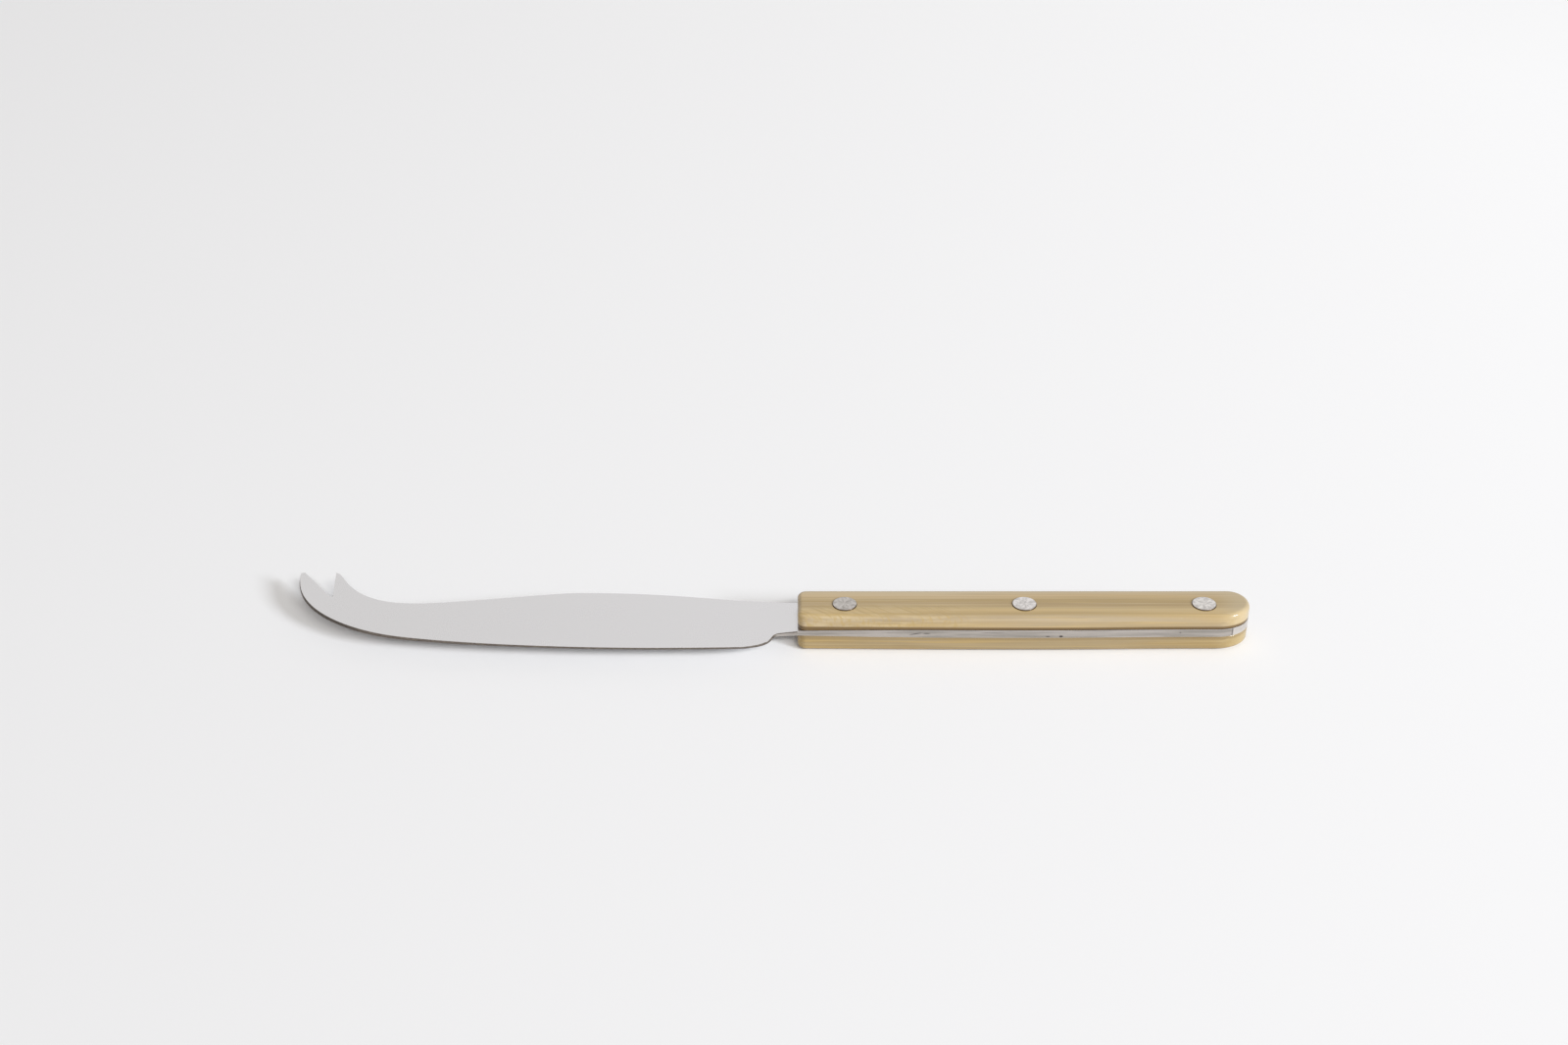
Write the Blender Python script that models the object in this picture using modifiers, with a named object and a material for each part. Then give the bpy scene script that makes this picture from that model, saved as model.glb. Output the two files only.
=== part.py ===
"""A forked cheese knife: one steel blade with a full tang, two handle scales and three rivets.

The knife lies on its side, on the lower faces of its rivets. X runs along it, with the fork
at -X and the butt at +X. Y runs across the blade, with the back at +Y and the cutting edge
at -Y. Z points up. The origin is the middle of the lower face of the middle rivet.
Lengths are in metres, and headings in degrees from +X towards +Y.
"""

import math

import bmesh
import bpy
from mathutils import Vector

MM = 0.001

# Handle, along X from its front end and across it from the line of the rivets
HANDLE_LENGTH = 112.6 * MM
HANDLE_BACK = 6.8 * MM
HANDLE_FRONT = 5.2 * MM
HANDLE_BELLY = 0.4 * MM
BELLY_REACH = 22.4 * MM
BUTT_CROWN = 1.4 * MM
BUTT_BACK_ROUND = 4.9 * MM
BUTT_FRONT_ROUND = 8.4 * MM
SCALE_THICKNESS = 3.75 * MM
SCALE_CORNER = 2.2 * MM
SCALE_ROUNDING = 1.2 * MM
SCALE_INNER_ROUNDING = 0.25 * MM

# Rivets, with their insets from the two ends of the handle
RIVET_DIAMETER = 6.0 * MM
RIVET_FRONT_INSET = 11.7 * MM
RIVET_REAR_INSET = 11.6 * MM
RIVET_PROUD = 0.3 * MM
RIVET_RIM = 0.15 * MM

# Steel thickness in the tang, and along the back and the edge of the flat-ground blade
TANG_THICKNESS = 2.2 * MM
BACK_THICKNESS_AT_FORK = 1.0 * MM
EDGE_THICKNESS = 0.45 * MM
EDGE_THICKNESS_AT_FORK = 0.7 * MM
EDGE_TAPER_START = 25.0 * MM
EDGE_TAPER_END = 55.0 * MM
GRIND_RUNOUT = 33.0 * MM

# Blade, along X from the front of the handle and across it from the line of the rivets
BLADE_LENGTH = 128.0 * MM
NECK_BACK_HEADING = 179.0
NECK_BACK_REACH = 18.0 * MM
CREST_DISTANCE = 55.7 * MM
CREST_RISE = 11.7 * MM
CREST_REACHES = (26.1 * MM, 6.5 * MM)
EDGE_LOW_DISTANCE = 34.9 * MM
EDGE_DROP = 12.05 * MM
EDGE_LOW_REACHES = (28.7 * MM, 4.0 * MM)
HEEL_DISTANCE = 12.9 * MM
HEEL_DROP = 11.6 * MM
HEEL_HEADING = 11.7
HEEL_REACHES = (1.5 * MM, 5.0 * MM)
CHOIL_DISTANCE = 5.7 * MM
CHOIL_DROP = 6.0 * MM
CHOIL_HEADING = 65.0
CHOIL_RADIUS = 2.0 * MM
CHOIL_REACH = 3.0 * MM

# Fork, along X from the outermost point of the outer prong
SADDLE_INSET = 31.65 * MM
SADDLE_RISE = 7.2 * MM
SADDLE_REACHES = (10.1 * MM, 15.4 * MM)
PRONG_RISE = 21.75 * MM
INNER_PRONG_INSET = 9.1 * MM
INNER_PRONG_CLIP = 1.1 * MM
INNER_PRONG_HEADING = 125.7
INNER_PRONG_REACH = 4.3 * MM
NOTCH_INSET = 10.15 * MM
NOTCH_DEPTH = 12.2 * MM
NOTCH_RADIUS = 0.4 * MM
OUTER_PRONG_WIDTH = 1.1 * MM
OUTER_PRONG_RADIUS = 0.5 * MM
OUTER_PRONG_HEADING = 271.0
OUTER_PRONG_REACH = 15.4 * MM
NOSE_INSET = 25.7 * MM
NOSE_DROP = 6.5 * MM
NOSE_HEADING = -16.0
NOSE_REACHES = (12.0 * MM, 10.1 * MM)

# Room between pieces that meet
FIT_GAP = 0.3 * MM

# Fineness of the meshes
OUTLINE_STEPS = 10
ROUNDING_STEPS = 4
ROUND_SIDES = 48
STATION_SPACING = 9.0 * MM
MERGE_DISTANCE = 0.001 * MM
SHARP_ANGLE = math.radians(35)

# Places that follow from the sizes
RIVET_SPACING = (HANDLE_LENGTH - RIVET_FRONT_INSET - RIVET_REAR_INSET) / 2
HANDLE_START = -RIVET_SPACING - RIVET_FRONT_INSET
HANDLE_END = HANDLE_START + HANDLE_LENGTH
FORK_END = HANDLE_START - BLADE_LENGTH
GRIND_END = HANDLE_START - CHOIL_DISTANCE
SCALE_INNER_FACE = TANG_THICKNESS / 2 + FIT_GAP
SCALE_OUTER_FACE = SCALE_INNER_FACE + SCALE_THICKNESS
WIDEST_ROUNDING = 0.85 * min(SCALE_CORNER, SCALE_THICKNESS - SCALE_INNER_ROUNDING)
STEEL_HEIGHT = SCALE_OUTER_FACE + RIVET_PROUD

for old in list(bpy.data.objects):
    bpy.data.objects.remove(old)


def new_collection(name, in_render):
    """A collection of the scene: the knife's pieces, or the helpers that cut them."""
    collection = bpy.data.collections.new(name)
    collection.hide_render = not in_render
    bpy.context.scene.collection.children.link(collection)
    return collection


PIECES = new_collection("cheese_knife", True)
CUTTERS = new_collection("cutters", False)


def surface(name, colour, roughness, metallic):
    material = bpy.data.materials.new(name)
    material.use_nodes = True
    shader = material.node_tree.nodes["Principled BSDF"]
    shader.inputs["Base Color"].default_value = (*colour, 1.0)
    shader.inputs["Roughness"].default_value = roughness
    shader.inputs["Metallic"].default_value = metallic
    return material


BLADE_STEEL = surface("blade_steel", (0.62, 0.62, 0.63), 0.16, 1.0)
RIVET_STEEL = surface("rivet_steel", (0.66, 0.65, 0.66), 0.34, 1.0)
SCALE_ACRYLIC = surface("tan_acrylic", (0.56, 0.42, 0.25), 0.18, 0.0)


def along(heading):
    """The direction in the XY plane at a heading."""
    return Vector((math.cos(math.radians(heading)), math.sin(math.radians(heading)), 0.0))


def smooth_point(x, y, heading, reaches):
    """An outline point passed at a heading, and how far its curve reaches before and after it."""
    spot = Vector((x, y, 0.0))
    return spot, spot - reaches[0] * along(heading), spot + reaches[1] * along(heading)


def curve_start(x, y, heading, reach):
    """An outline point where a straight run ends and a curve starts."""
    spot = Vector((x, y, 0.0))
    return spot, None, spot + reach * along(heading)


def curve_end(x, y, heading, reach):
    """An outline point where a curve ends and a straight run starts."""
    spot = Vector((x, y, 0.0))
    return spot, spot - reach * along(heading), None


def sharp_corner(x, y):
    """An outline point between two straight runs."""
    return Vector((x, y, 0.0)), None, None


def rounded_corner(x, y, heading_in, heading_out, radius, reach_in=0.0, reach_out=0.0):
    """The two ends of the arc that rounds a corner. A reach makes a curve of the run beside it."""
    turn = abs(math.radians(heading_out - heading_in))
    cut = radius * math.tan(turn / 2)
    arc_reach = 4 / 3 * math.tan(turn / 4) * radius
    corner = Vector((x, y, 0.0))
    start = corner - cut * along(heading_in)
    end = corner + cut * along(heading_out)
    before = start - reach_in * along(heading_in) if reach_in else None
    after = end + reach_out * along(heading_out) if reach_out else None
    return [
        (start, before, start + arc_reach * along(heading_in)),
        (end, end - arc_reach * along(heading_out), after),
    ]


def handle_outline():
    """The long front side of the handle with its slight belly, and the butt, up to the back."""
    quarter = 4 / 3 * math.tan(math.pi / 8)
    front_reaches = (BELLY_REACH, quarter * BUTT_FRONT_ROUND)
    crown_reaches = (quarter * (HANDLE_FRONT + BUTT_CROWN), quarter * (HANDLE_BACK - BUTT_CROWN))
    return [
        smooth_point(0.0, -HANDLE_FRONT - HANDLE_BELLY, 0, (BELLY_REACH, BELLY_REACH)),
        smooth_point(HANDLE_END - BUTT_FRONT_ROUND, -HANDLE_FRONT, 0, front_reaches),
        smooth_point(HANDLE_END, BUTT_CROWN, 90, crown_reaches),
        curve_end(HANDLE_END - BUTT_BACK_ROUND, HANDLE_BACK, 180, quarter * BUTT_BACK_ROUND),
    ]


def scale_outline():
    """The plan of a handle scale: two rounded front corners, the sides and the butt."""
    return [
        *rounded_corner(HANDLE_START, HANDLE_BACK, 180, 270, SCALE_CORNER),
        *rounded_corner(HANDLE_START, -HANDLE_FRONT, 270, 360, SCALE_CORNER),
        *handle_outline(),
    ]


def back_outline():
    """The back of the blade from the handle: up to the crest, down to the saddle, up the fork."""
    prong_x = FORK_END + INNER_PRONG_INSET + INNER_PRONG_CLIP
    prong_y = PRONG_RISE - INNER_PRONG_CLIP * math.tan(math.radians(180 - INNER_PRONG_HEADING)) / 2
    return [
        curve_start(HANDLE_START, HANDLE_BACK, NECK_BACK_HEADING, NECK_BACK_REACH),
        smooth_point(HANDLE_START - CREST_DISTANCE, CREST_RISE, 180, CREST_REACHES),
        smooth_point(FORK_END + SADDLE_INSET, SADDLE_RISE, 180, SADDLE_REACHES),
        curve_end(prong_x, prong_y, INNER_PRONG_HEADING, INNER_PRONG_REACH),
    ]


def fork_outline():
    """The tip of the inner prong, the notch and the tip of the outer prong."""
    inner_x = FORK_END + INNER_PRONG_INSET
    notch_x = FORK_END + NOTCH_INSET
    outer_x = FORK_END + OUTER_PRONG_WIDTH
    notch_in = 360 - math.degrees(math.atan2(NOTCH_DEPTH, notch_x - inner_x))
    notch_out = math.degrees(math.atan2(NOTCH_DEPTH, outer_x - notch_x))
    return [
        sharp_corner(inner_x, PRONG_RISE),
        *rounded_corner(notch_x, PRONG_RISE - NOTCH_DEPTH, notch_in, notch_out, NOTCH_RADIUS),
        sharp_corner(outer_x, PRONG_RISE),
        *rounded_corner(
            FORK_END, PRONG_RISE, 180, OUTER_PRONG_HEADING, OUTER_PRONG_RADIUS,
            reach_out=OUTER_PRONG_REACH,
        ),
    ]


def edge_outline():
    """The cutting edge from the fork: round the nose, along the edge, up the heel to the choil."""
    choil_x = HANDLE_START - CHOIL_DISTANCE
    neck_heading = math.degrees(math.atan2(CHOIL_DROP - HANDLE_FRONT, CHOIL_DISTANCE))
    return [
        smooth_point(FORK_END + NOSE_INSET, -NOSE_DROP, NOSE_HEADING, NOSE_REACHES),
        smooth_point(HANDLE_START - EDGE_LOW_DISTANCE, -EDGE_DROP, 0, EDGE_LOW_REACHES),
        smooth_point(HANDLE_START - HEEL_DISTANCE, -HEEL_DROP, HEEL_HEADING, HEEL_REACHES),
        *rounded_corner(
            choil_x, -CHOIL_DROP, CHOIL_HEADING, neck_heading, CHOIL_RADIUS, reach_in=CHOIL_REACH
        ),
        sharp_corner(HANDLE_START, -HANDLE_FRONT),
    ]


def flat_form(name, outline, thickness):
    """A bmesh of an outline, filled and extruded to its thickness about z = 0."""
    curve = bpy.data.curves.new(name, "CURVE")
    curve.dimensions = "2D"
    curve.fill_mode = "BOTH"
    curve.extrude = thickness / 2
    curve.resolution_u = OUTLINE_STEPS
    spline = curve.splines.new("BEZIER")
    spline.bezier_points.add(len(outline) - 1)
    spline.use_cyclic_u = True
    for point, (spot, before, after) in zip(spline.bezier_points, outline):
        point.co = spot
        point.handle_left_type = "FREE" if before else "VECTOR"
        point.handle_right_type = "FREE" if after else "VECTOR"
        point.handle_left = before or spot
        point.handle_right = after or spot
    guide = bpy.data.objects.new(name, curve)
    bpy.context.scene.collection.objects.link(guide)
    graph = bpy.context.evaluated_depsgraph_get()
    mesh = bpy.data.meshes.new_from_object(guide.evaluated_get(graph))
    bpy.data.objects.remove(guide)
    form = bmesh.new()
    form.from_mesh(mesh)
    bpy.data.meshes.remove(mesh)
    bmesh.ops.remove_doubles(form, verts=form.verts, dist=MERGE_DISTANCE)
    bmesh.ops.recalc_face_normals(form, faces=form.faces)
    return form


def add_piece(name, form, material, collection):
    """An object of a bmesh, smooth where its faces turn gently."""
    mesh = bpy.data.meshes.new(name)
    form.to_mesh(mesh)
    form.free()
    mesh.shade_smooth()
    mesh.set_sharp_from_angle(angle=SHARP_ANGLE)
    piece = bpy.data.objects.new(name, mesh)
    if material:
        mesh.materials.append(material)
    collection.objects.link(piece)
    return piece


def rivet_form(radius, length):
    form = bmesh.new()
    bmesh.ops.create_cone(
        form, cap_ends=True, segments=ROUND_SIDES, radius1=radius, radius2=radius, depth=length
    )
    return form


def add_rivets():
    """Three pins through the whole handle, and the cutters of the holes that they pass through."""
    length = 2 * STEEL_HEIGHT
    for name, x in (
        ("rivet_front", -RIVET_SPACING),
        ("rivet_middle", 0.0),
        ("rivet_rear", RIVET_SPACING),
    ):
        pin = add_piece(name, rivet_form(RIVET_DIAMETER / 2, length), RIVET_STEEL, PIECES)
        pin.location = (x, 0.0, STEEL_HEIGHT)
        rim = pin.modifiers.new("rim", "BEVEL")
        rim.width = RIVET_RIM
        rim.segments = 2
        rim.limit_method = "ANGLE"
        rim.angle_limit = SHARP_ANGLE
        hole = add_piece(
            name + "_hole", rivet_form(RIVET_DIAMETER / 2 + FIT_GAP, 2 * length), None, CUTTERS
        )
        hole.location = pin.location
        hole.display_type = "WIRE"
        hole.hide_render = True


def drill(piece):
    """Cuts the rivets' holes through a piece."""
    holes = piece.modifiers.new("rivet_holes", "BOOLEAN")
    holes.operation = "DIFFERENCE"
    holes.operand_type = "COLLECTION"
    holes.collection = CUTTERS
    holes.solver = "EXACT"


def round_rim(form, side, rounding):
    """Rounds the rim of the upper face (side 1) or the lower face (side -1) of a flat form."""
    rim = [
        edge
        for edge in form.edges
        if all(vert.co.z * side > 0 for vert in edge.verts)
        and edge.calc_face_angle(0.0) > SHARP_ANGLE
    ]
    bmesh.ops.bevel(
        form, geom=rim, offset=rounding, offset_type="OFFSET", segments=ROUNDING_STEPS,
        profile=0.5, affect="EDGES", clamp_overlap=False, material=-1,
    )


def add_scale(name, side):
    """A handle scale, above the tang (side 1) or below it (side -1)."""
    form = flat_form(name, scale_outline(), SCALE_THICKNESS)
    round_rim(form, side, min(SCALE_ROUNDING, WIDEST_ROUNDING))
    round_rim(form, -side, SCALE_INNER_ROUNDING)
    bmesh.ops.translate(
        form, verts=form.verts, vec=(0, 0, side * (SCALE_INNER_FACE + SCALE_THICKNESS / 2))
    )
    scale = add_piece(name, form, SCALE_ACRYLIC, PIECES)
    scale.location.z = STEEL_HEIGHT
    drill(scale)


def share(value, start, end):
    """How far a value is from start to end, kept between 0 and 1."""
    return min(max((value - start) / (end - start), 0.0), 1.0)


def mix(first, second, part):
    return first + (second - first) * part


def steel_thickness(x, y):
    """The flat grind, thinner towards the edge and the fork, and its run-out into the tang."""
    from_fork = x - FORK_END
    back = mix(BACK_THICKNESS_AT_FORK, TANG_THICKNESS, share(from_fork, 0.0, BLADE_LENGTH))
    thinned = share(from_fork, EDGE_TAPER_START, EDGE_TAPER_END)
    edge = mix(EDGE_THICKNESS_AT_FORK, EDGE_THICKNESS, thinned)
    ground = mix(edge, back, share(y, -EDGE_DROP, HANDLE_BACK))
    return mix(ground, TANG_THICKNESS, share(x, GRIND_END, GRIND_END + GRIND_RUNOUT))


def grind_stations():
    """Where along X the steel is cut into strips: at each change of the grind, and between."""
    breaks = [
        FORK_END,
        FORK_END + EDGE_TAPER_START,
        FORK_END + EDGE_TAPER_END,
        GRIND_END,
        GRIND_END + GRIND_RUNOUT,
    ]
    stations = []
    for start, end in zip(breaks, breaks[1:]):
        strips = math.ceil((end - start) / STATION_SPACING)
        stations += [mix(start, end, (i + 1) / strips) for i in range(strips)]
    return stations


def cut_across(form, point, normal):
    bmesh.ops.bisect_plane(
        form, geom=[*form.verts, *form.edges, *form.faces], plane_co=point, plane_no=normal,
        dist=MERGE_DISTANCE,
    )


def add_blade():
    """The blade, the fork and the tang, cut from one sheet and ground thinner to the edge."""
    outline = [*back_outline(), *fork_outline(), *edge_outline(), *handle_outline()]
    form = flat_form("blade", outline, TANG_THICKNESS)
    for x in grind_stations():
        cut_across(form, (x, 0, 0), (1, 0, 0))
    cut_across(form, (0, 0, 0), (0, 1, 0))
    bmesh.ops.triangulate(form, faces=form.faces)
    for vert in form.verts:
        vert.co.z *= steel_thickness(vert.co.x, vert.co.y) / TANG_THICKNESS
    blade = add_piece("blade", form, BLADE_STEEL, PIECES)
    blade.location.z = STEEL_HEIGHT
    drill(blade)


add_rivets()
add_blade()
add_scale("upper_scale", 1)
add_scale("lower_scale", -1)
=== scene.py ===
# %% [markdown]
# # A forked cheese knife in Blender
#
# This notebook dresses a knife whose solids are already packed: a steel blade with a full tang,
# two streaked handle scales and three rivets. Each step first says what the piece is on the real
# knife, then how it is made here and why. Lengths in the tables are in millimetres.

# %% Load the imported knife
import math

import bmesh
import bpy
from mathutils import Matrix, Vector


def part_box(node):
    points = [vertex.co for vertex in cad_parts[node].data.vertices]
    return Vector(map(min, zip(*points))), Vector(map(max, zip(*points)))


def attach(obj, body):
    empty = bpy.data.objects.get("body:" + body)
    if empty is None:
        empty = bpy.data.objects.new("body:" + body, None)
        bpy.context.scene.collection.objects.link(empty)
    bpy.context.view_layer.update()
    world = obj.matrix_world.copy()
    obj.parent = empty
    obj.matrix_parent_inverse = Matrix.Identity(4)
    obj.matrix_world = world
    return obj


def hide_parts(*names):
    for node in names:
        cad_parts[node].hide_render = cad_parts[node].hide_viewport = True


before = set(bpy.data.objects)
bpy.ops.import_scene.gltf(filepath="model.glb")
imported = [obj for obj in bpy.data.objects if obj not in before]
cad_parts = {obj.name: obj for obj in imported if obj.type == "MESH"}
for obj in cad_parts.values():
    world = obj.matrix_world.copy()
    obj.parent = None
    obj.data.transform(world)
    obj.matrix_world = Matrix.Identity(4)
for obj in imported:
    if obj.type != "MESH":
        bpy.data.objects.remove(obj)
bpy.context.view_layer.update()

MM = 0.001
print("packed nodes:", sorted(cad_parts))

# %% [markdown]
# ## Places
#
# Every piece is built where its solid lies. The ends of the handle, the middle plane of the steel
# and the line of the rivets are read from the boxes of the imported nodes, so nothing is fitted
# by eye. The knife lies along X with its fork at -X, and its cutting edge faces -Y.

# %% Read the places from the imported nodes
scale_low, scale_high = (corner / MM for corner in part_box("upper_scale"))
blade_low, blade_high = (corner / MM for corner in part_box("blade"))
pin_low, pin_high = (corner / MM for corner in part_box("rivet_middle"))
RIVET_NODES = ("rivet_front", "rivet_middle", "rivet_rear")
RIVET_SPOTS = [sum(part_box(node), Vector()).x / 2 / MM for node in RIVET_NODES]

HANDLE_START = scale_low.x
HANDLE_END = scale_high.x
FORK_END = blade_low.x
STEEL_MIDDLE = (blade_low.z + blade_high.z) / 2
TANG_THICKNESS = blade_high.z - blade_low.z
SCALE_TOP = scale_high.z
RIVET_RADIUS = (pin_high.x - pin_low.x) / 2
print("handle from", round(HANDLE_START, 2), "to", round(HANDLE_END, 2))
print("steel middle", round(STEEL_MIDDLE, 2), "rivets at", [round(x, 2) for x in RIVET_SPOTS])

# %% [markdown]
# ## Outlines as Bezier curves
#
# A knife is cut from flat sheet, so its plan is the shape that matters most. A Bezier point has
# a handle on each side: where both handles lie on one line the outline runs smoothly through,
# and where they don't it has a corner. The helpers below name the kinds of point that a knife
# needs, and give each as its spot and its two handles. A handle left out means a straight run.

# %% Outline points
QUARTER = 4 / 3 * math.tan(math.pi / 8)


def along(heading):
    """The direction in plan at a heading in degrees."""
    return Vector((math.cos(math.radians(heading)), math.sin(math.radians(heading)), 0.0))


def smooth_point(x, y, heading, reaches):
    spot = Vector((x, y, 0.0))
    return spot, spot - reaches[0] * along(heading), spot + reaches[1] * along(heading)


def curve_start(x, y, heading, reach):
    spot = Vector((x, y, 0.0))
    return spot, None, spot + reach * along(heading)


def curve_end(x, y, heading, reach):
    spot = Vector((x, y, 0.0))
    return spot, spot - reach * along(heading), None


def sharp_corner(x, y):
    return Vector((x, y, 0.0)), None, None


def rounded_corner(x, y, heading_in, heading_out, radius, reach_in=0.0, reach_out=0.0):
    """The two ends of the arc that rounds a corner."""
    turn = abs(math.radians(heading_out - heading_in))
    cut = radius * math.tan(turn / 2)
    arc_reach = 4 / 3 * math.tan(turn / 4) * radius
    corner = Vector((x, y, 0.0))
    start = corner - cut * along(heading_in)
    end = corner + cut * along(heading_out)
    before = start - reach_in * along(heading_in) if reach_in else None
    after = end + reach_out * along(heading_out) if reach_out else None
    return [
        (start, before, start + arc_reach * along(heading_in)),
        (end, end - arc_reach * along(heading_out), after),
    ]


def circle(x, radius):
    """A round hole of a given radius on the line of the rivets."""
    centre = Vector((x, 0.0, 0.0))
    reaches = (QUARTER * radius, QUARTER * radius)
    return [
        smooth_point(*(centre + radius * along(turn)).xy, turn + 90, reaches)
        for turn in (0, 90, 180, 270)
    ]


print("a quarter circle's handles reach", round(QUARTER, 4), "of its radius")

# %% [markdown]
# ## The plan of the handle
#
# The long front side of the handle swells a little, and the butt is rounder at the front than
# at the back. The tang and both scales share these points, because the real handle is sanded
# to one contour after the scales are riveted on.

# %% Handle outline
HANDLE_BACK = 6.8
HANDLE_FRONT = 5.2
HANDLE_BELLY = 0.4
BELLY_REACH = 22.4
BUTT_CROWN = 1.4
BUTT_BACK_ROUND = 4.9
BUTT_FRONT_ROUND = 8.4
SCALE_CORNER = 2.2


def handle_outline():
    front_reaches = (BELLY_REACH, QUARTER * BUTT_FRONT_ROUND)
    crown_reaches = (QUARTER * (HANDLE_FRONT + BUTT_CROWN), QUARTER * (HANDLE_BACK - BUTT_CROWN))
    return [
        smooth_point(0.0, -HANDLE_FRONT - HANDLE_BELLY, 0, (BELLY_REACH, BELLY_REACH)),
        smooth_point(HANDLE_END - BUTT_FRONT_ROUND, -HANDLE_FRONT, 0, front_reaches),
        smooth_point(HANDLE_END, BUTT_CROWN, 90, crown_reaches),
        curve_end(HANDLE_END - BUTT_BACK_ROUND, HANDLE_BACK, 180, QUARTER * BUTT_BACK_ROUND),
    ]


def scale_outline():
    return [
        *rounded_corner(HANDLE_START, HANDLE_BACK, 180, 270, SCALE_CORNER),
        *rounded_corner(HANDLE_START, -HANDLE_FRONT, 270, 360, SCALE_CORNER),
        *handle_outline(),
    ]


print("scale outline:", len(scale_outline()), "points")

# %% [markdown]
# ## The plan of the blade
#
# From the handle the back climbs to a low crest, sinks to a saddle and sweeps up into the fork.
# The fork is two prongs with a narrow notch. The edge then runs round the nose and along a
# nearly straight stretch to a rounded heel, where it climbs into the choil, the small
# hollow before the neck.

# %% Blade outline
BACK_START = (HANDLE_START, HANDLE_BACK, 179, 18.0)
CREST = (HANDLE_START - 55.7, 11.7, 180, (26.1, 6.5))
SADDLE = (FORK_END + 31.65, 7.2, 180, (10.1, 15.4))
PRONG_RISE = 21.75
INNER_PRONG_X = FORK_END + 9.1
INNER_PRONG_CLIP = 1.1
INNER_PRONG_HEADING = 125.7
INNER_PRONG_REACH = 4.3
NOTCH_X = FORK_END + 10.15
NOTCH_DEPTH = 12.2
NOTCH_RADIUS = 0.4
OUTER_PRONG_WIDTH = 1.1
OUTER_PRONG_RADIUS = 0.5
OUTER_PRONG_HEADING = 271
OUTER_PRONG_REACH = 15.4
NOSE = (FORK_END + 25.7, -6.5, -16, (12.0, 10.1))
EDGE_LOW = (HANDLE_START - 34.9, -12.05, 0, (28.7, 4.0))
HEEL = (HANDLE_START - 12.9, -11.6, 11.7, (1.5, 5.0))
CHOIL_X = HANDLE_START - 5.7
CHOIL_Y = -6.0
CHOIL_HEADING = 65
CHOIL_RADIUS = 2.0
CHOIL_REACH = 3.0


def fork_outline():
    clip_fall = INNER_PRONG_CLIP * math.tan(math.radians(180 - INNER_PRONG_HEADING)) / 2
    outer_x = FORK_END + OUTER_PRONG_WIDTH
    notch_in = 360 - math.degrees(math.atan2(NOTCH_DEPTH, NOTCH_X - INNER_PRONG_X))
    notch_out = math.degrees(math.atan2(NOTCH_DEPTH, outer_x - NOTCH_X))
    return [
        curve_end(
            INNER_PRONG_X + INNER_PRONG_CLIP, PRONG_RISE - clip_fall, INNER_PRONG_HEADING,
            INNER_PRONG_REACH,
        ),
        sharp_corner(INNER_PRONG_X, PRONG_RISE),
        *rounded_corner(NOTCH_X, PRONG_RISE - NOTCH_DEPTH, notch_in, notch_out, NOTCH_RADIUS),
        sharp_corner(outer_x, PRONG_RISE),
        *rounded_corner(
            FORK_END, PRONG_RISE, 180, OUTER_PRONG_HEADING, OUTER_PRONG_RADIUS,
            reach_out=OUTER_PRONG_REACH,
        ),
    ]


def blade_outline():
    neck_heading = math.degrees(math.atan2(-CHOIL_Y - HANDLE_FRONT, HANDLE_START - CHOIL_X))
    return [
        curve_start(*BACK_START),
        smooth_point(*CREST),
        smooth_point(*SADDLE),
        *fork_outline(),
        smooth_point(*NOSE),
        smooth_point(*EDGE_LOW),
        smooth_point(*HEEL),
        *rounded_corner(
            CHOIL_X, CHOIL_Y, CHOIL_HEADING, neck_heading, CHOIL_RADIUS, reach_in=CHOIL_REACH
        ),
        sharp_corner(HANDLE_START, -HANDLE_FRONT),
        *handle_outline(),
    ]


print("blade outline:", len(blade_outline()), "points")

# %% [markdown]
# ## From outline to slab
#
# A 2D curve in Blender fills itself, and a loop inside another becomes a hole. So one curve
# holds a plan and its rivet holes, its Extrude setting gives the thickness, and the result is
# copied into a bmesh, where the operators of the next steps can work on it. This keeps the
# holes free of Boolean cuts, and their walls clean. The filling leaves long slivers between the
# holes, which would show as dark lines, so each flat side is joined into a few large faces.

# %% Slab helper
OUTLINE_STEPS = 24
MERGE = 0.0005
SLIVER = 1e-6
SHARP_ANGLE = math.radians(28)
RIM_ANGLE = math.radians(60)
FLAT_NORMAL = 0.5


def flat_slab(name, loops, thickness):
    """A bmesh in millimetres of filled outlines, extruded to a thickness about z = 0."""
    curve = bpy.data.curves.new(name, "CURVE")
    curve.dimensions = "2D"
    curve.fill_mode = "BOTH"
    curve.extrude = thickness / 2
    curve.resolution_u = OUTLINE_STEPS
    for loop in loops:
        spline = curve.splines.new("BEZIER")
        spline.bezier_points.add(len(loop) - 1)
        spline.use_cyclic_u = True
        for point, (spot, before, after) in zip(spline.bezier_points, loop):
            point.co = spot
            point.handle_left_type = "FREE" if before else "VECTOR"
            point.handle_right_type = "FREE" if after else "VECTOR"
            point.handle_left = before or spot
            point.handle_right = after or spot
    guide = bpy.data.objects.new(name, curve)
    bpy.context.scene.collection.objects.link(guide)
    graph = bpy.context.evaluated_depsgraph_get()
    mesh = bpy.data.meshes.new_from_object(guide.evaluated_get(graph))
    bpy.data.objects.remove(guide)
    slab = bmesh.new()
    slab.from_mesh(mesh)
    bpy.data.meshes.remove(mesh)
    bmesh.ops.remove_doubles(slab, verts=slab.verts, dist=MERGE)
    bmesh.ops.recalc_face_normals(slab, faces=slab.faces)
    inside = [
        edge
        for edge in slab.edges
        if all(
            abs(face.normal.z) > FLAT_NORMAL or face.calc_area() < SLIVER
            for face in edge.link_faces
        )
    ]
    bmesh.ops.dissolve_limit(slab, angle_limit=math.pi, edges=inside)
    return slab


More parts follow.
